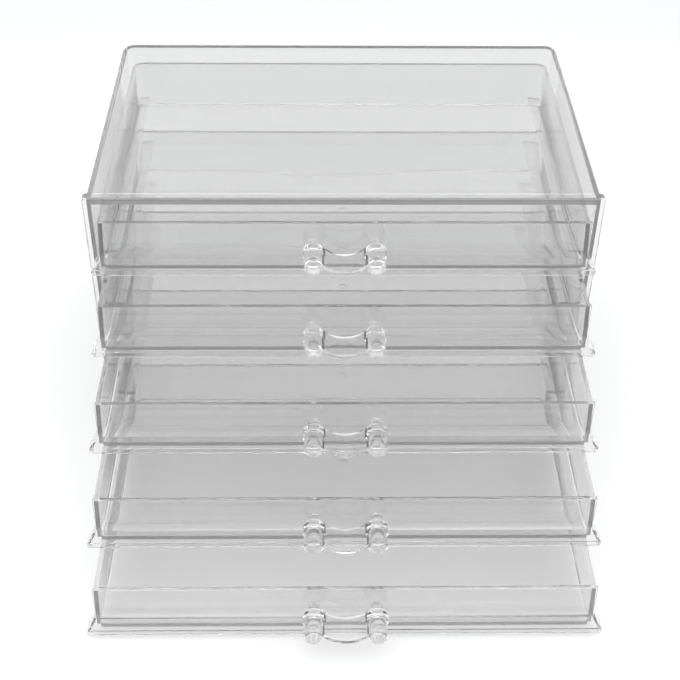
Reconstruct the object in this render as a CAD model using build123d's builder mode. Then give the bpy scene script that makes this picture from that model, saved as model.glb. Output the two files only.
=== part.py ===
from build123d import *

import math
import os

os.makedirs("parts", exist_ok=True)

# Clear desk organiser: one moulded case, open at the front, and five moulded trays
# that slide out of it, each with its own pull. Millimetres, +Z up. The origin is the
# centre of the case's underside and the drawers open towards -Y.

# ---------------------------------------------------------------- driving dimensions
# Trays
tray_count = 5
tray_width = 227.0  # over the rim
tray_length = 151.4  # from the back of the front panel to the outside of the back wall
tray_height = 26.8
tray_wall = 2.0
tray_floor = 1.8
tray_draft = 1.3  # how far each wall leans out between floor and rim
tray_corner = 5.5  # outer radius of the two upright back corners, at the rim
floor_bevel = 1.2  # inside, where the walls meet the floor

# Front panel, moulded with the tray
panel_wall = 2.0
panel_step = 0.7  # how far the panel stands out beside the tray's rim
panel_flare = 4.2  # how far the skirt swings out, to the front and to both sides
skirt_height = 14.4  # where the swing starts, above the tray's underside
lip_height = 2.8
lip_corner = 1.1

# Gate mark left under each floor by the mould
gate_from_back = 104.0
gate_radius = 1.9
gate_depth = 0.45

# Pull: two pegs and a sagging strap between them, pinned through the panel
peg_spacing = 28.8
peg_height = 14.75  # axis above the tray's underside
peg_reach = 17.9  # from the panel's face to the peg's end
stem_radius = 2.6  # runs from the collar through the panel
stem_length = 4.4  # bare stem between the panel's face and the collar
collar_radius = 5.0
collar_length = 5.2
peg_radius = 4.35
strap_thickness = 1.8
strap_rise = 0.5  # strap's ends above the pegs' axis, at its back
strap_sag = 2.6
strap_drop = 1.6  # how much lower the strap's front edge lies than its back edge
strap_setback = 1.2  # strap's front edge behind the pegs' ends

# Case
side_wall = 2.4
end_plate = 2.6  # top and bottom
back_wall = 2.4
case_corner = 6.0  # outer radius of the two upright back corners
case_edge = 1.0  # bevel of the outer edges
bead_depth = 4.2  # bead round the front opening
bead_side = 1.9
bead_top = 0.8
bead_edge = 0.7  # bevel of its front edges
rail_thickness = 1.8
rail_root = 0.7  # how much thicker a rail is where it joins the wall
rail_bearing = 4.2  # width of the tray's floor that lies on a rail
rail_setback = 3.0  # rail's front end behind the case's front

# Clearances
side_gap = 3.9  # tray's rim to the case's wall
back_gap = 2.2  # closed tray to the case's back
head_gap = 1.2  # rim to the rail above it
seat_gap = 0.3  # tray to the rail that carries it, and panel to case when closed
top_gap = 3.4  # highest rim to the underside of the case's top
stem_gap = 0.05

# How far each lip stands in front of the case, from the highest drawer to the lowest
drawer_extension = (14.6, 38.3, 71.8, 102.8, 129.3)

# ------------------------------------------------------------------------ worked out
tray_pitch = tray_height + head_gap + rail_thickness + seat_gap
wall_lean = math.degrees(math.atan(tray_draft / tray_height))
panel_depth = panel_wall + panel_flare
panel_width = tray_width + 2 * panel_step
lip_width = panel_width + 2 * panel_flare
tray_foot = tray_width - 2 * tray_draft
inner_width = tray_width + 2 * side_gap
inner_depth = tray_length + back_gap + seat_gap
inner_height = (tray_count - 1) * tray_pitch + seat_gap + tray_height + top_gap
case_width = inner_width + 2 * side_wall
case_depth = inner_depth + back_wall
case_height = inner_height + 2 * end_plate
case_front = -case_depth / 2
rail_reach = (inner_width - tray_foot) / 2 + rail_bearing
strap_length = peg_reach - strap_setback - stem_length


def tray_base(level):
    """Height of a tray's underside; level 0 is the highest drawer."""
    return end_plate + seat_gap + (tray_count - 1 - level) * tray_pitch


def peg_places(base):
    """The two pegs' axes, across and up."""
    return [(side * peg_spacing / 2, base + peg_height) for side in (-1, 1)]


def open_front_rectangle(width, front, back, radius):
    """A rectangle on the current sketch plane, rounded at its two back corners."""
    with Locations((0, (front + back) / 2)):
        Rectangle(width, back - front)
    fillet(vertices().group_by(Axis.Y)[-1], radius)


# ------------------------------------------------------------------------------ case
def build_hollow():
    """The room inside the case, with the rails' shapes left out of it."""
    with BuildPart() as hollow:
        with BuildSketch(Plane.XY.offset(end_plate)):
            hollow_front = case_front - bead_depth
            hollow_back = case_front + inner_depth
            open_front_rectangle(inner_width, hollow_front, hollow_back, case_corner - side_wall)
        extrude(amount=inner_height)

        # One rail on each side for every tray but the lowest, which rides on the bottom plate
        wall_x = inner_width / 2
        tip_x = wall_x - rail_reach
        for level in range(tray_count - 1):
            rail_top = tray_base(level) - seat_gap
            rail_bottom = rail_top - rail_thickness
            with BuildSketch(Plane.XZ.offset(-(case_front + rail_setback))):
                with BuildLine():
                    Polyline(
                        (wall_x, rail_top),
                        (tip_x, rail_top),
                        (tip_x, rail_bottom),
                        (wall_x, rail_bottom - rail_root),
                        close=True,
                    )
                make_face()
                mirror(about=Plane.YZ)
            extrude(amount=-case_depth, mode=Mode.SUBTRACT)
    return hollow.part


def build_case():
    """The shell and the bead round its opening, hollowed out to leave walls and rails."""
    hollow = build_hollow()
    with BuildPart() as case:
        with BuildSketch(Plane.XY):
            open_front_rectangle(case_width, case_front, case_front + case_depth, case_corner)
        extrude(amount=case_height)
        side_edges = case.edges().filter_by(Axis.Y)
        back_edges = case.edges().group_by(Axis.Y)[-1].filter_by(Axis.X)
        corner_arcs = case.edges().filter_by(GeomType.CIRCLE)
        chamfer(side_edges + back_edges + corner_arcs, case_edge)

        # Bead round the front opening, flush with the underside so that the case lies flat
        with BuildSketch(Plane.XZ.offset(-case_front)):
            with Locations((0, (case_height + bead_top) / 2)):
                Rectangle(case_width + 2 * bead_side, case_height + bead_top)
            fillet(vertices().group_by(Axis.Y)[-1], bead_side)
        extrude(amount=-bead_depth)
        chamfer(case.edges().group_by(Axis.Y)[0], bead_edge)

        add(hollow, mode=Mode.SUBTRACT)
    case.part.label = "case"
    return case.part


# ----------------------------------------------------------------------------- trays
def leaning_block(top_z, depth, front, back, width, radius):
    """A block below top_z whose sides and back lean inwards going down."""
    rim_plane = Plane.XY.offset(top_z)
    with BuildPart() as block:
        with BuildSketch(rim_plane):
            open_front_rectangle(width, front, back, radius)
        extrude(amount=-depth)
        upright = block.faces().filter_by(Axis.Z, reverse=True)
        draft(upright.sort_by(Axis.Y)[1:], rim_plane, wall_lean)
    return block


def build_tray_room(level):
    """The room inside a tray, bevelled along its floor."""
    inside_y = case_front - drawer_extension[level] + panel_depth
    rim_z = tray_base(level) + tray_height
    room_back = inside_y + tray_length - tray_wall
    room_width = tray_width - 2 * tray_wall
    block = leaning_block(
        rim_z, tray_height - tray_floor, inside_y, room_back, room_width, tray_corner - tray_wall
    )
    with BuildPart() as room:
        add(block.part)
        chamfer(room.edges().group_by(Axis.Z)[0], floor_bevel)
    return room.part


def build_tray(level):
    """One tray with its front panel; the skirt flares to the front and to both sides."""
    base = tray_base(level)
    rim_z = base + tray_height
    lip_y = case_front - drawer_extension[level]
    face_y = lip_y + panel_flare
    inside_y = lip_y + panel_depth
    back_y = inside_y + tray_length
    joint_y = inside_y - panel_wall / 2
    half_panel = panel_width / 2
    half_lip = lip_width / 2
    shell = leaning_block(rim_z, tray_height, joint_y, back_y, tray_width, tray_corner)
    room = build_tray_room(level)
    with BuildPart() as tray:
        # Front elevation of the panel: straight sides that swing out into the lip
        with BuildSketch(Plane.XZ.offset(-lip_y)):
            with BuildLine():
                flank = Line((half_panel, rim_z), (half_panel, base + skirt_height))
                swing = TangentArc(flank @ 1, (half_lip, base + lip_height), tangent=flank % 1)
                Polyline(swing @ 1, (half_lip, base), (0, base), (0, rim_z), flank @ 0)
            make_face()
            mirror(about=Plane.YZ)
            fillet(vertices().group_by(Axis.Y)[0], lip_corner)
        extrude(amount=-panel_depth)

        # Side profile of the panel, with the same swing towards the front
        with BuildSketch(Plane.YZ.offset(-half_lip)):
            with BuildLine():
                face = Line((face_y, rim_z), (face_y, base + skirt_height))
                cove = TangentArc(face @ 1, (lip_y, base + lip_height), tangent=face % 1)
                Polyline(cove @ 1, (lip_y, base), (inside_y, base), (inside_y, rim_z), face @ 0)
            make_face()
        extrude(amount=lip_width, mode=Mode.INTERSECT)

        # Tray behind the panel, hollowed out at the walls' own lean
        add(shell.part)
        add(room, mode=Mode.SUBTRACT)

        # Holes for the pull's two stems
        with BuildSketch(Plane.XZ.offset(-inside_y)):
            with Locations(*peg_places(base)):
                Circle(stem_radius + stem_gap)
        extrude(amount=panel_depth, mode=Mode.SUBTRACT)

        # Shallow round gate mark under the floor
        with BuildSketch(Plane.XY.offset(base)):
            with Locations((0, back_y - gate_from_back)):
                Circle(gate_radius)
        extrude(amount=gate_depth, mode=Mode.SUBTRACT)
    tray.part.label = f"tray_{level + 1}"
    return tray.part


# ----------------------------------------------------------------------------- pulls
def build_pull(level):
    """Two turned pegs and the strap that sags between them, a dip for a fingertip."""
    base = tray_base(level)
    face_y = case_front - drawer_extension[level] + panel_flare
    axis_z = base + peg_height
    with BuildPart() as pull:
        for peg_x, _ in peg_places(base):
            # Half section of the peg: along it from the panel's face, and out from its axis
            peg_section = Plane(origin=(peg_x, face_y, axis_z), x_dir=(0, -1, 0), z_dir=(-1, 0, 0))
            with BuildSketch(peg_section):
                with BuildLine():
                    Polyline(
                        (-panel_wall, 0),
                        (-panel_wall, stem_radius),
                        (stem_length, stem_radius),
                        (stem_length, collar_radius),
                        (stem_length + collar_length, collar_radius),
                        (stem_length + collar_length, peg_radius),
                        (peg_reach, peg_radius),
                        (peg_reach, 0),
                        close=True,
                    )
                make_face()
            revolve(axis=Axis((peg_x, face_y, axis_z), (0, -1, 0)))

        # Strap: a sagging section that runs forwards, and a little down, from collar to peg end
        half_span = peg_spacing / 2 - peg_radius / 2
        strap_back = Plane(
            origin=(0, face_y - stem_length, axis_z + strap_rise),
            x_dir=(1, 0, 0),
            z_dir=(0, -strap_length, -strap_drop),
        )
        under = -strap_thickness
        with BuildSketch(strap_back):
            with BuildLine():
                upper = ThreePointArc((-half_span, 0), (0, -strap_sag), (half_span, 0))
                lower = ThreePointArc((half_span, under), (0, under - strap_sag), (-half_span, under))
                Line(upper @ 1, lower @ 0)
                Line(lower @ 1, upper @ 0)
            make_face()
        extrude(amount=strap_length)
    pull.part.label = f"pull_{level + 1}"
    return pull.part


finished_parts = [build_case()]
for level in range(tray_count):
    finished_parts += [build_tray(level), build_pull(level)]
for part in finished_parts:
    export_step(part, f"parts/{part.label}.step")
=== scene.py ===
"""Clear desk organiser with five pull-out drawers: moulded trays and pulls, floor and light.

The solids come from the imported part. This add-on hollows out the trays' skirts, turns the
pulls with soft edges, dresses every piece in clear moulded plastic and sets up the product
photograph. Lengths are metres, the floor is z = 0 and the drawers open towards -Y.
"""

import math

import bmesh
import bpy
from mathutils import Matrix, Vector


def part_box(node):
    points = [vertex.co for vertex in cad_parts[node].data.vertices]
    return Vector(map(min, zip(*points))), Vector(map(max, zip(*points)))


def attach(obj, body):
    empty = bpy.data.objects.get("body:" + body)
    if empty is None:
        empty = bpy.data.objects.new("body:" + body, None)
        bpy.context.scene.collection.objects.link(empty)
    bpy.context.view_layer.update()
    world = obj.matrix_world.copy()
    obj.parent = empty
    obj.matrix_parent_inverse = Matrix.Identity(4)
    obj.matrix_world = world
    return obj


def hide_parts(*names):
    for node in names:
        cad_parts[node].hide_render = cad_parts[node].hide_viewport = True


bl_info = {
    "name": "Clear Drawer Organiser",
    "version": (1, 0, 0),
    "blender": (4, 5, 0),
    "location": "View3D > Sidebar > Organiser",
    "description": "Finishes and product stage for a clear five-drawer desk organiser",
    "category": "Object",
}

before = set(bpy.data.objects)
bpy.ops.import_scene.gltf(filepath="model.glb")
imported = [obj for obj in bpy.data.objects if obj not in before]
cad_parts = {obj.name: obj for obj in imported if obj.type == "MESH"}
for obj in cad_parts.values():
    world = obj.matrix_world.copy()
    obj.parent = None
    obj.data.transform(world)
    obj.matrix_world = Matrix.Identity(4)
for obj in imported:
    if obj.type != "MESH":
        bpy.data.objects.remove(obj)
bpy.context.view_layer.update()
WHITE = (1.0, 1.0, 1.0, 1.0)
TINY = 0.000002  # points nearer than this are one
SWING_STEPS = 18  # cuts along the height of a skirt's hollow
PEG_STEPS = 40  # facets round a peg
STRAP_STEPS = 20  # facets along the strap
ROUNDING_STEPS = 3  # facets across a rounded edge
SHARP_ANGLE = math.radians(28)  # edges sharper than this stay crisp
FLAT_ANGLE = math.radians(0.2)  # facets turned less than this are one flat face
ONWARD_SHARE = 0.5  # share of the scattered light that leaves on a wall's far side


# ---------------------------------------------------------------------------- colours
def linear(hex_colour):
    """An sRGB hex colour as the linear RGBA that the shaders take."""
    channels = (int(hex_colour[i : i + 2], 16) / 255 for i in (0, 2, 4))
    return (*(c / 12.92 if c <= 0.04045 else ((c + 0.055) / 1.055) ** 2.4 for c in channels), 1.0)


# --------------------------------------------------------------------------- settings
class OrganiserFinish(bpy.types.PropertyGroup):
    """The clear plastic that every piece is moulded in."""

    ior: bpy.props.FloatProperty(
        name="IOR", description="Refractive index of clear polystyrene", default=1.57, min=1.0, max=2.0
    )
    case_tint: bpy.props.StringProperty(
        name="Case tint",
        description="Colour left after light passes a wall of the case",
        default="FFFFFF",
    )
    tray_tint: bpy.props.StringProperty(
        name="Tray tint",
        description="Colour left after light passes a wall of a tray",
        default="FFFFFF",
    )
    pull_tint: bpy.props.StringProperty(
        name="Pull tint", description="Colour left after light passes a pull", default="FFFFFF"
    )
    polish: bpy.props.FloatProperty(
        name="Polish", description="Roughness of a clean moulded face", default=0.03, min=0.0, max=0.3
    )
    haze: bpy.props.FloatProperty(
        name="Haze",
        description="Roughness where a face is slightly rubbed",
        default=0.11, min=0.0, max=0.5,
    )
    flow_scale: bpy.props.FloatProperty(
        name="Flow marks",
        description="Size of the soft waves left by the mould",
        default=0.045, unit="LENGTH",
    )
    flow_depth: bpy.props.FloatProperty(
        name="Flow depth",
        description="Height of the mould's waves",
        default=0.00001, unit="LENGTH", precision=6,
    )
    scratch_scale: bpy.props.FloatProperty(
        name="Rub marks", description="Size of the fine rub marks", default=0.0035, unit="LENGTH"
    )
    veil: bpy.props.FloatProperty(
        name="Veil",
        description="Share of light that a face scatters, as moulded polystyrene does",
        default=0.085, min=0, max=1,
    )
    pull_veil: bpy.props.FloatProperty(
        name="Pull veil",
        description="Share of light that a polished pull scatters",
        default=0.035, min=0, max=1,
    )
    veil_colour: bpy.props.StringProperty(
        name="Veil colour", description="Colour of the scattered light", default="FAFAFA"
    )
    shade: bpy.props.FloatProperty(
        name="Shade",
        description="Share of light that a wall lets through to the floor",
        default=0.95, min=0, max=1,
    )


class OrganiserTray(bpy.types.PropertyGroup):
    """The hollow skirt at the front of a tray, an even wall that follows the flare."""

    wall: bpy.props.FloatProperty(
        name="Skirt wall",
        description="Thickness of the skirt",
        default=0.0014, unit="LENGTH", precision=4,
    )
    flare: bpy.props.FloatProperty(
        name="Flare",
        description="How far the skirt swings out",
        default=0.0042, unit="LENGTH", precision=4,
    )
    skirt: bpy.props.FloatProperty(
        name="Skirt height",
        description="Where the swing starts, above the underside",
        default=0.0144, unit="LENGTH", precision=4,
    )
    lip: bpy.props.FloatProperty(
        name="Lip height",
        description="Upright lip under the skirt",
        default=0.0028, unit="LENGTH", precision=4,
    )
    step: bpy.props.FloatProperty(
        name="Panel step",
        description="How far the panel stands out beside the walls",
        default=0.0007, unit="LENGTH", precision=4,
    )
    lean: bpy.props.FloatProperty(
        name="Lean",
        description="How far a wall leans out from floor to rim",
        default=0.0013, unit="LENGTH", precision=4,
    )
    round: bpy.props.FloatProperty(
        name="Foot rounding",
        description="Rounding of the floor's outer edge behind the skirt",
        default=0.0016, unit="LENGTH", precision=4,
    )
    pocket: bpy.props.FloatProperty(
        name="Pocket height",
        description="Top of the hollow behind each side flare",
        default=0.0092, unit="LENGTH", precision=4,
    )


class OrganiserPull(bpy.types.PropertyGroup):
    """A pull: two turned pegs with rounded ends and a sagging strap between them."""

    spacing: bpy.props.FloatProperty(
        name="Peg spacing",
        description="Distance between the pegs' axes",
        default=0.0288, unit="LENGTH", precision=4,
    )
    axis: bpy.props.FloatProperty(
        name="Peg height",
        description="Pegs' axis above the tray's underside",
        default=0.01475, unit="LENGTH", precision=5,
    )
    pin: bpy.props.FloatProperty(
        name="Pin",
        description="Part of the stem inside the panel",
        default=0.002, unit="LENGTH", precision=4,
    )
    stem_radius: bpy.props.FloatProperty(
        name="Stem radius",
        description="Stem between panel and collar",
        default=0.0026, unit="LENGTH", precision=4,
    )
    stem_length: bpy.props.FloatProperty(
        name="Stem length",
        description="Bare stem between panel and collar",
        default=0.0044, unit="LENGTH", precision=4,
    )
    collar_radius: bpy.props.FloatProperty(
        name="Collar radius",
        description="Collar behind the peg",
        default=0.005, unit="LENGTH", precision=4,
    )
    collar_length: bpy.props.FloatProperty(
        name="Collar length",
        description="Length of the collar",
        default=0.0052, unit="LENGTH", precision=4,
    )
    peg_radius: bpy.props.FloatProperty(
        name="Peg radius",
        description="Front part of the peg",
        default=0.00435, unit="LENGTH", precision=5,
    )
    rounding: bpy.props.FloatProperty(
        name="Rounding",
        description="Rounded edges of collar and peg",
        default=0.0007, unit="LENGTH", precision=4,
    )
    strap_depth: bpy.props.FloatProperty(
        name="Strap depth",
        description="Middle of the strap's back edge below the axis",
        default=0.0022, unit="LENGTH", precision=4,
    )
    strap_bend: bpy.props.FloatProperty(
        name="Strap bend",
        description="Radius of the strap's sag",
        default=0.014, unit="LENGTH", precision=4,
    )
    strap_half: bpy.props.FloatProperty(
        name="Strap reach",
        description="Half of the strap's span",
        default=0.0106, unit="LENGTH", precision=4,
    )
    strap_thickness: bpy.props.FloatProperty(
        name="Strap thickness",
        description="Thickness of the strap",
        default=0.0018, unit="LENGTH", precision=4,
    )
    strap_drop: bpy.props.FloatProperty(
        name="Strap drop",
        description="How much lower the front edge lies",
        default=0.001, unit="LENGTH", precision=4,
    )
    peg_reach: bpy.props.FloatProperty(
        name="Peg reach",
        description="Pegs' ends in front of the panel",
        default=0.0179, unit="LENGTH", precision=4,
    )
    strap_setback: bpy.props.FloatProperty(
        name="Strap setback",
        description="Strap's front edge behind the pegs' ends",
        default=0.0012, unit="LENGTH", precision=4,
    )


class OrganiserStage(bpy.types.PropertyGroup):
    """Floor, surroundings, lamps and camera of the product photograph."""

    floor_size: bpy.props.FloatProperty(
        name="Floor", description="Side of the square floor", default=6.0, unit="LENGTH"
    )
    floor_colour: bpy.props.StringProperty(
        name="Floor colour", description="Colour of the floor's matt sheet", default="E6E6E6"
    )
    floor_lift: bpy.props.FloatProperty(
        name="Backdrop level",
        description="Light that the white sheet shows by itself",
        default=0.30, min=0.0,
    )
    fade_start: bpy.props.FloatProperty(
        name="Fade start",
        description="Where the sheet starts to run out into the backdrop",
        default=0.55, unit="LENGTH",
    )
    fade_end: bpy.props.FloatProperty(
        name="Fade end", description="Where the sheet is all backdrop", default=1.3, unit="LENGTH"
    )
    surround: bpy.props.StringProperty(
        name="Surroundings", description="Grey of the room around the table", default="B4B6B8"
    )
    lamp_power: bpy.props.FloatProperty(
        name="Softbox power", description="Power of the overhead softbox", default=9.0, unit="POWER"
    )
    lamp_size: bpy.props.FloatProperty(
        name="Softbox size", description="Side of the overhead softbox", default=1.1, unit="LENGTH"
    )
    focal_length: bpy.props.FloatProperty(
        name="Focal length", description="Camera's focal length on a 36 mm sensor, in mm", default=67.08
    )
    camera_place: bpy.props.FloatVectorProperty(
        name="Camera",
        description="Place of the camera",
        default=(-0.0120, -0.5704, 0.4807), subtype="TRANSLATION",
    )
    camera_pitch: bpy.props.FloatProperty(
        name="Pitch",
        description="Angle below the horizon",
        default=math.radians(39.70), subtype="ANGLE",
    )
    camera_roll: bpy.props.FloatProperty(
        name="Roll",
        description="Turn about the line of sight",
        default=math.radians(0.73), subtype="ANGLE",
    )
    camera_yaw: bpy.props.FloatProperty(
        name="Yaw", description="Turn to the right of +Y", default=math.radians(1.25), subtype="ANGLE"
    )


# ----------------------------------------------------------------------- node helpers
def add_node(tree, kind, values=None, links=None, **settings):
    """A node of that kind with its settings, input values and incoming links."""
    node = tree.nodes.new(kind)
    for name, value in settings.items():
        setattr(node, name, value)
    for socket, value in (values or {}).items():
        node.inputs[socket].default_value = value
    for socket, source in (links or {}).items():
        tree.links.new(source, node.inputs[socket])
    return node


def new_material(name):
    """An empty node material of that name."""
    material = bpy.data.materials.new(name)
    material.use_nodes = True
    material.node_tree.nodes.clear()
    return material


def seen_directly(tree):
    """1 for rays from the camera and for those that a mirror or clear piece passes on."""
    path = add_node(tree, "ShaderNodeLightPath")
    seen = path.outputs["Is Camera Ray"]
    for kind in ("Is Glossy Ray", "Is Transmission Ray"):
        seen = add_node(
            tree,
            "ShaderNodeMath",
            links={0: seen, 1: path.outputs[kind]},
            operation="MAXIMUM",
        ).outputs[0]
    return seen


def clear_plastic(name, tint, veil, finish, grain_turn):
    """Clear injection-moulded polystyrene: soft flow waves, faint rub marks and an even polish."""
    material = new_material(name)
    tree = material.node_tree
    place = add_node(tree, "ShaderNodeTexCoord")
    turned = add_node(
        tree,
        "ShaderNodeMapping",
        {"Rotation": grain_turn},
        {"Vector": place.outputs["Object"]},
    )
    # Long waves where the melt ran out from the gate
    flow = add_node(
        tree,
        "ShaderNodeTexNoise",
        {"Scale": 1 / finish.flow_scale, "Detail": 2.0, "Roughness": 0.35, "Distortion": 0.2},
        {"Vector": turned.outputs["Vector"]},
    )
    # Fine rub marks, stretched along the drawers' travel
    rubbed = add_node(
        tree,
        "ShaderNodeMapping",
        {"Scale": (1.0, 0.12, 1.0)},
        {"Vector": place.outputs["Object"]},
    )
    rubs = add_node(
        tree,
        "ShaderNodeTexNoise",
        {"Scale": 1 / finish.scratch_scale, "Detail": 4.0, "Roughness": 0.6},
        {"Vector": rubbed.outputs["Vector"]},
    )
    wear = add_node(
        tree,
        "ShaderNodeMapRange",
        {"From Min": 0.62, "From Max": 0.86, "To Min": finish.polish, "To Max": finish.haze},
        {"Value": rubs.outputs["Fac"]},
        interpolation_type="SMOOTHSTEP",
    )
    waves = add_node(
        tree,
        "ShaderNodeBump",
        {"Strength": 1.0, "Distance": finish.flow_depth},
        {"Height": flow.outputs["Fac"]},
    )
    plastic = add_node(
        tree,
        "ShaderNodeBsdfPrincipled",
        {
            "Base Color": linear(tint),
            "IOR": finish.ior,
            "Transmission Weight": 1.0,
        },
        {"Roughness": wear.outputs["Result"], "Normal": waves.outputs["Normal"]},
    )
    # The moulding's slight milkiness, which also keeps its edges light
    scattered = {"Color": linear(finish.veil_colour)}
    bumped = {"Normal": waves.outputs["Normal"]}
    near = add_node(tree, "ShaderNodeBsdfDiffuse", scattered, bumped)
    far = add_node(tree, "ShaderNodeBsdfTranslucent", scattered, bumped)
    milk = add_node(tree, "ShaderNodeMixShader", {0: ONWARD_SHARE}, {1: near.outputs[0], 2: far.outputs[0]})
    veiled = add_node(
        tree, "ShaderNodeMixShader", {0: veil}, {1: plastic.outputs[0], 2: milk.outputs[0]}
    )
    # A thin clear wall lets most light through to what stands behind it
    through = add_node(tree, "ShaderNodeBsdfTransparent", {"Color": (finish.shade,) * 3 + (1.0,)})
    path = add_node(tree, "ShaderNodeLightPath")
    mixed = add_node(
        tree,
        "ShaderNodeMixShader",
        links={0: path.outputs["Is Shadow Ray"], 1: veiled.outputs[0], 2: through.outputs[0]},
    )
    add_node(tree, "ShaderNodeOutputMaterial", links={"Surface": mixed.outputs[0]})
    return material


def dress(prefix, material):
    """Gives the material to every CAD node whose name starts so."""
    found = [node for name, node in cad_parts.items() if name.startswith(prefix)]
    if not found:
        raise RuntimeError(f"the part has no node named {prefix}")
    for node in found:
        node.data.materials.clear()
        node.data.materials.append(material)


# ---------------------------------------------------------------------- shape helpers
def swing_out(tray, height, inset):
    """How far the skirt stands out at a height above the underside, at a depth inside its wall."""
    drop = tray.skirt - tray.lip
    radius = (drop**2 + tray.flare**2) / (2 * tray.flare)
    below = min(max(tray.skirt - height, 0.0), drop + inset)
    return min(radius - math.sqrt((radius + inset) ** 2 - below**2), tray.flare - inset)


def shaped_block(bottom, top, sides_at):
    """A closed block whose four sides follow their height."""
    block = bmesh.new()
    size = 1.0
    bmesh.ops.create_cube(block, size=size)
    upright = [edge for edge in block.edges if abs(edge.verts[0].co.z - edge.verts[1].co.z) > size / 2]
    bmesh.ops.subdivide_edges(block, edges=upright, cuts=SWING_STEPS, use_grid_fill=True)
    for vert in block.verts:
        height = bottom + (vert.co.z / size + 1 / 2) * (top - bottom)
        left, right, front, back = sides_at(height)
        vert.co = (right if vert.co.x > 0 else left, back if vert.co.y > 0 else front, height)
    return block


def combined(context, whole, tool, operation, name):
    """The first shape less, or joined with, the second, as a closed bmesh; both are used up."""
    pair = []
    for shape in (whole, tool):
        mesh = bpy.data.meshes.new(name)
        shape.to_mesh(mesh)
        shape.free()
        pair.append(bpy.data.objects.new(name, mesh))
        context.scene.collection.objects.link(pair[-1])
    body, other = pair
    boolean = body.modifiers.new("boolean", "BOOLEAN")
    boolean.operation = operation
    boolean.solver = "EXACT"
    boolean.object = other
    result = bpy.data.meshes.new_from_object(body.evaluated_get(context.evaluated_depsgraph_get()))
    shape = bmesh.new()
    shape.from_mesh(result)
    for each in pair:
        bpy.data.meshes.remove(each.data)
    bpy.data.meshes.remove(result)
    bmesh.ops.remove_doubles(shape, verts=shape.verts, dist=TINY)
    bmesh.ops.dissolve_degenerate(shape, edges=shape.edges, dist=TINY)
    bmesh.ops.dissolve_limit(shape, angle_limit=FLAT_ANGLE, verts=shape.verts, edges=shape.edges)
    if not shape.faces or any(not edge.is_manifold for edge in shape.edges):
        raise RuntimeError(f"{name} is not closed")
    return shape


def skirt_hollow(context, low, high, tray):
    """Cutter: the channel behind the skirt, open below, that runs round the tray's front corners."""
    half_panel = high[0] - tray.flare
    face = low[1] + tray.flare
    behind = face + 2 * tray.wall
    rim = high[2] - low[2]

    def outer_sides(height):
        out = swing_out(tray, height, tray.wall)
        return -half_panel - out, half_panel + out, face - out, behind

    def inner_sides(height):
        below = min(max(tray.round - height, 0.0), tray.round)
        inset = tray.round - math.sqrt(tray.round**2 - below**2)
        side = half_panel - tray.step - tray.lean * (rim - height) / rim - inset
        return -side, side, face + inset, behind + tray.wall

    outer = shaped_block(-tray.wall, tray.pocket, outer_sides)
    inner = shaped_block(-2 * tray.wall, tray.pocket + tray.wall, inner_sides)
    channel = combined(context, outer, inner, "DIFFERENCE", "skirt_hollow")
    bmesh.ops.translate(channel, vec=(0.0, 0.0, low[2]), verts=channel.verts)
    return channel


def turned_peg(pull, side, face, axis):
    """A peg turned about its own axis, with soft edges."""
    reach = pull.stem_length + pull.collar_length
    profile = (
        (-pull.pin, 0.0),
        (-pull.pin, pull.stem_radius),
        (pull.stem_length, pull.stem_radius),
        (pull.stem_length, pull.collar_radius),
        (reach, pull.collar_radius),
        (reach, pull.peg_radius),
        (pull.peg_reach, pull.peg_radius),
        (pull.peg_reach, 0.0),
    )
    place = Vector((side * pull.spacing / 2, face, axis))
    peg = bmesh.new()
    points = [peg.verts.new(place + Vector((0.0, -along, out))) for along, out in profile]
    lines = [peg.edges.new(pair) for pair in zip(points, points[1:])]
    bmesh.ops.spin(
        peg,
        geom=[*points, *lines],
        cent=place,
        axis=(0.0, 1.0, 0.0),
        angle=math.tau,
        steps=PEG_STEPS,
        use_merge=True,
    )
    bmesh.ops.remove_doubles(peg, verts=peg.verts, dist=TINY)
    bmesh.ops.recalc_face_normals(peg, faces=peg.faces)
    soft = []
    for edge in peg.edges:
        first, second = ((vert.co - place).cross(Vector((0, 1, 0))).length for vert in edge.verts)
        runs_round = abs(edge.verts[0].co.y - edge.verts[1].co.y) < TINY and abs(first - second) < TINY
        is_wide = min(first, second) > pull.stem_radius + TINY
        if runs_round and is_wide and edge.is_manifold and edge.calc_face_angle_signed() > SHARP_ANGLE:
            soft.append(edge)
    bmesh.ops.bevel(
        peg,
        geom=soft,
        offset=pull.rounding,
        segments=ROUNDING_STEPS,
        profile=0.5,
        affect="EDGES",
        material=-1,
    )
    return peg


def sagging_strap(pull, face, axis):
    """The strap between the pegs: an arc drawn forwards and given its thickness."""
    strap = bmesh.new()
    middle = Vector((0.0, face - pull.stem_length, axis - pull.strap_depth + pull.strap_bend))
    sweep = math.asin(pull.strap_half / pull.strap_bend)
    start = strap.verts.new(middle + Vector((-math.sin(sweep), 0.0, -math.cos(sweep))) * pull.strap_bend)
    bmesh.ops.spin(
        strap,
        geom=[start],
        cent=middle,
        axis=(0.0, -1.0, 0.0),
        angle=2 * sweep,
        steps=STRAP_STEPS,
        use_merge=False,
    )
    run = pull.peg_reach - pull.strap_setback - pull.stem_length
    drawn = bmesh.ops.extrude_edge_only(strap, edges=strap.edges)["geom"]
    front_edge = [each for each in drawn if isinstance(each, bmesh.types.BMVert)]
    bmesh.ops.translate(strap, vec=(0.0, -run, -pull.strap_drop), verts=front_edge)
    sheet = bmesh.ops.extrude_face_region(strap, geom=strap.faces[:], use_keep_orig=True)["geom"]
    underside = [each for each in sheet if isinstance(each, bmesh.types.BMVert)]
    bmesh.ops.translate(strap, vec=(0.0, 0.0, -pull.strap_thickness), verts=underside)
    bmesh.ops.recalc_face_normals(strap, faces=strap.faces)
    return strap


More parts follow.
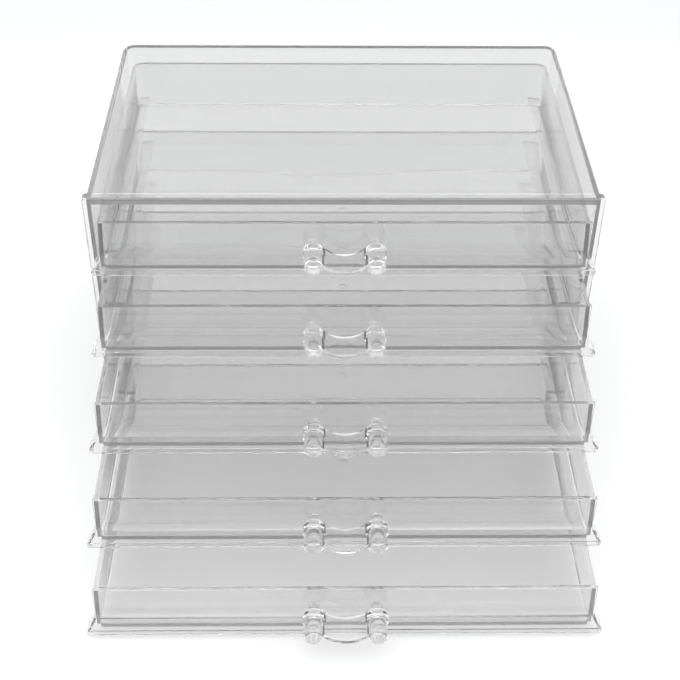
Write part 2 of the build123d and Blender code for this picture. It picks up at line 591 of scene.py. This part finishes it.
def merged_copy(node):
    """A CAD node's shape as a bmesh with its loose triangles joined."""
    shape = bmesh.new()
    shape.from_mesh(node.data)
    bmesh.ops.remove_doubles(shape, verts=shape.verts, dist=TINY)
    return shape


def add_piece(context, name, shape, material, body, node_name):
    """A piece made of the shape, which rides on a body in place of a CAD node."""
    mesh = bpy.data.meshes.new(name)
    shape.to_mesh(mesh)
    shape.free()
    mesh.shade_smooth()
    mesh.set_sharp_from_angle(angle=SHARP_ANGLE)
    mesh.materials.append(material)
    piece = bpy.data.objects.new(name, mesh)
    context.scene.collection.objects.link(piece)
    flats = piece.modifiers.new("flat faces stay flat", "WEIGHTED_NORMAL")
    flats.keep_sharp = True
    flats.weight = 100  # the largest face decides
    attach(piece, body)
    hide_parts(node_name)


# -------------------------------------------------------------------------- operators
class ORGANISER_OT_finish_case(bpy.types.Operator):
    """Dress the case in clear polystyrene"""

    bl_idname = "organiser.finish_case"
    bl_label = "Finish Case"

    def execute(self, context):
        finish = context.scene.organiser_finish
        grain_turn = (0.0, 0.0, 0.4)
        material = clear_plastic(
            "Clear polystyrene, case", finish.case_tint, finish.veil, finish, grain_turn
        )
        dress("case", material)
        return {"FINISHED"}


class ORGANISER_OT_finish_trays(bpy.types.Operator):
    """Hollow out the skirts of the five trays and dress them in clear polystyrene"""

    bl_idname = "organiser.finish_trays"
    bl_label = "Finish Trays"

    def execute(self, context):
        finish = context.scene.organiser_finish
        grain_turn = (0.3, 0.0, 1.1)
        material = clear_plastic(
            "Clear polystyrene, trays", finish.tray_tint, finish.veil, finish, grain_turn
        )
        dress("tray_", material)
        for name in sorted(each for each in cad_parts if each.startswith("tray_")):
            number = name.split("_")[1]
            hollow = skirt_hollow(context, *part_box(name), context.scene.organiser_tray)
            piece_name = f"moulded_tray_{number}"
            shape = combined(context, merged_copy(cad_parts[name]), hollow, "DIFFERENCE", piece_name)
            add_piece(context, piece_name, shape, material, f"drawer_{number}", name)
        return {"FINISHED"}


class ORGANISER_OT_finish_pulls(bpy.types.Operator):
    """Turn the five pulls, with soft edges and a sagging strap, and dress them in polished plastic"""

    bl_idname = "organiser.finish_pulls"
    bl_label = "Finish Pulls"

    def execute(self, context):
        finish = context.scene.organiser_finish
        grain_turn = (0.0, 0.7, 0.0)
        material = clear_plastic(
            "Clear polystyrene, pulls", finish.pull_tint, finish.pull_veil, finish, grain_turn
        )
        dress("pull_", material)
        pull = context.scene.organiser_pull
        for name in sorted(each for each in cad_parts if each.startswith("pull_")):
            number = name.split("_")[1]
            tray_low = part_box(f"tray_{number}")[0]
            face = tray_low[1] + context.scene.organiser_tray.flare
            axis = tray_low[2] + pull.axis
            piece_name = f"moulded_pull_{number}"
            shape = sagging_strap(pull, face, axis)
            for side in (-1, 1):
                shape = combined(context, shape, turned_peg(pull, side, face, axis), "UNION", piece_name)
            add_piece(context, piece_name, shape, material, f"drawer_{number}", name)
        return {"FINISHED"}


class ORGANISER_OT_set_stage(bpy.types.Operator):
    """Lay the white floor and set the surroundings, lamps and camera"""

    bl_idname = "organiser.set_stage"
    bl_label = "Set Stage"

    def execute(self, context):
        stage = context.scene.organiser_stage
        self.lay_floor(context, stage)
        self.set_surroundings(context, stage)
        self.hang_lamps(context, stage)
        self.place_camera(context, stage)
        cycles = context.scene.cycles
        cycles.max_bounces = 40
        cycles.transmission_bounces = 40
        cycles.glossy_bounces = 8
        cycles.transparent_max_bounces = 48
        cycles.caustics_reflective = False
        cycles.caustics_refractive = False
        context.scene.view_settings.view_transform = "Standard"
        return {"FINISHED"}

    def lay_floor(self, context, stage):
        """A wide white sheet that keeps the object's soft shadow and fades out far from it."""
        mesh = bpy.data.meshes.new("floor")
        sheet = bmesh.new()
        bmesh.ops.create_grid(sheet, x_segments=1, y_segments=1, size=stage.floor_size / 2)
        sheet.to_mesh(mesh)
        sheet.free()
        floor = bpy.data.objects.new("floor", mesh)
        context.scene.collection.objects.link(floor)
        material = new_material("White paper sheet")
        tree = material.node_tree
        place = add_node(tree, "ShaderNodeTexCoord")
        fibre = add_node(
            tree,
            "ShaderNodeTexNoise",
            {"Scale": 900.0, "Detail": 3.0},
            {"Vector": place.outputs["Object"]},
        )
        grain = add_node(
            tree,
            "ShaderNodeBump",
            {"Strength": 0.1, "Distance": 0.0001},
            {"Height": fibre.outputs["Fac"]},
        )
        paper = add_node(
            tree,
            "ShaderNodeBsdfDiffuse",
            {"Color": linear(stage.floor_colour)},
            {"Normal": grain.outputs["Normal"]},
        )
        seen = seen_directly(tree)
        level = add_node(tree, "ShaderNodeMath", {1: stage.floor_lift}, {0: seen}, operation="MULTIPLY")
        lift = add_node(tree, "ShaderNodeEmission", {"Color": WHITE}, {"Strength": level.outputs[0]})
        both = add_node(tree, "ShaderNodeAddShader", links={0: paper.outputs[0], 1: lift.outputs[0]})
        # Far from the object the sheet runs out into the white backdrop
        away = add_node(tree, "ShaderNodeVectorMath", links={0: place.outputs["Object"]}, operation="LENGTH")
        far = add_node(
            tree,
            "ShaderNodeMapRange",
            {"From Min": stage.fade_start, "From Max": stage.fade_end},
            {"Value": away.outputs["Value"]},
            interpolation_type="SMOOTHSTEP",
        )
        white = add_node(tree, "ShaderNodeEmission", {"Color": WHITE}, {"Strength": seen})
        blend = add_node(
            tree,
            "ShaderNodeMixShader",
            links={0: far.outputs["Result"], 1: both.outputs[0], 2: white.outputs[0]},
        )
        add_node(tree, "ShaderNodeOutputMaterial", links={"Surface": blend.outputs[0]})
        mesh.materials.append(material)

    def set_surroundings(self, context, stage):
        """White where it is seen, and a plain grey room where it only lights."""
        world = bpy.data.worlds.new("Studio")
        world.use_nodes = True
        tree = world.node_tree
        tree.nodes.clear()
        seen = seen_directly(tree)
        white = add_node(tree, "ShaderNodeBackground", {"Color": WHITE, "Strength": 1.0})
        room = add_node(tree, "ShaderNodeBackground", {"Color": linear(stage.surround), "Strength": 1.0})
        mixed = add_node(
            tree,
            "ShaderNodeMixShader",
            links={0: seen, 1: room.outputs[0], 2: white.outputs[0]},
        )
        add_node(tree, "ShaderNodeOutputWorld", links={"Surface": mixed.outputs[0]})
        context.scene.world = world

    def hang_lamps(self, context, stage):
        """One wide softbox overhead and a weaker, smaller one at each side."""
        above, above_aim = (0.0, -0.25, 1.25), (0.0, -0.05, 0.0)
        self.softbox(context, "softbox_top", above, above_aim, stage.lamp_size, stage.lamp_power)
        side_aim, side_size, side_power = (0.0, -0.05, 0.08), 0.35, stage.lamp_power / 4
        for side, name in ((-1, "softbox_left"), (1, "softbox_right")):
            self.softbox(context, name, (side * 0.95, -0.35, 0.55), side_aim, side_size, side_power)

    def softbox(self, context, name, place, target, size, power):
        """A square area lamp that looks at a point."""
        lamp = bpy.data.lights.new(name, "AREA")
        lamp.shape = "SQUARE"
        lamp.size = size
        lamp.energy = power
        holder = bpy.data.objects.new(name, lamp)
        holder.location = place
        sight = Vector(target) - Vector(place)
        holder.rotation_euler = sight.to_track_quat("-Z", "Y").to_euler()
        context.scene.collection.objects.link(holder)

    def place_camera(self, context, stage):
        """The photograph's own viewpoint."""
        camera = bpy.data.cameras.new("camera")
        camera.sensor_width = 36.0
        camera.lens = stage.focal_length
        camera.clip_start = 0.01
        camera.clip_end = 50.0
        holder = bpy.data.objects.new("camera", camera)
        turn = (
            Matrix.Rotation(-stage.camera_yaw, 4, "Z")
            @ Matrix.Rotation(math.pi / 2 - stage.camera_pitch, 4, "X")
            @ Matrix.Rotation(stage.camera_roll, 4, "Z")
        )
        holder.matrix_world = Matrix.Translation(stage.camera_place) @ turn
        context.scene.collection.objects.link(holder)
        context.scene.camera = holder


class ORGANISER_PT_panel(bpy.types.Panel):
    """Finishes and stage of the organiser"""

    bl_idname = "ORGANISER_PT_panel"
    bl_label = "Clear Drawer Organiser"
    bl_space_type = "VIEW_3D"
    bl_region_type = "UI"
    bl_category = "Organiser"

    def draw(self, context):
        scene = context.scene
        groups = (scene.organiser_finish, scene.organiser_tray, scene.organiser_pull, scene.organiser_stage)
        for group in groups:
            column = self.layout.box().column()
            for name in group.bl_rna.properties.keys():
                if name not in ("rna_type", "name"):
                    column.prop(group, name)
        for operator in OPERATORS:
            self.layout.operator(operator.bl_idname)


OPERATORS = (
    ORGANISER_OT_finish_case,
    ORGANISER_OT_finish_trays,
    ORGANISER_OT_finish_pulls,
    ORGANISER_OT_set_stage,
)
CLASSES = (OrganiserFinish, OrganiserTray, OrganiserPull, OrganiserStage, *OPERATORS, ORGANISER_PT_panel)


def register():
    for each in CLASSES:
        bpy.utils.register_class(each)
    bpy.types.Scene.organiser_finish = bpy.props.PointerProperty(type=OrganiserFinish)
    bpy.types.Scene.organiser_tray = bpy.props.PointerProperty(type=OrganiserTray)
    bpy.types.Scene.organiser_pull = bpy.props.PointerProperty(type=OrganiserPull)
    bpy.types.Scene.organiser_stage = bpy.props.PointerProperty(type=OrganiserStage)


def unregister():
    del bpy.types.Scene.organiser_stage
    del bpy.types.Scene.organiser_pull
    del bpy.types.Scene.organiser_tray
    del bpy.types.Scene.organiser_finish
    for each in reversed(CLASSES):
        bpy.utils.unregister_class(each)


def main():
    register()
    bpy.ops.organiser.finish_case()
    bpy.ops.organiser.finish_trays()
    bpy.ops.organiser.finish_pulls()
    bpy.ops.organiser.set_stage()


if __name__ == "__main__":
    main()
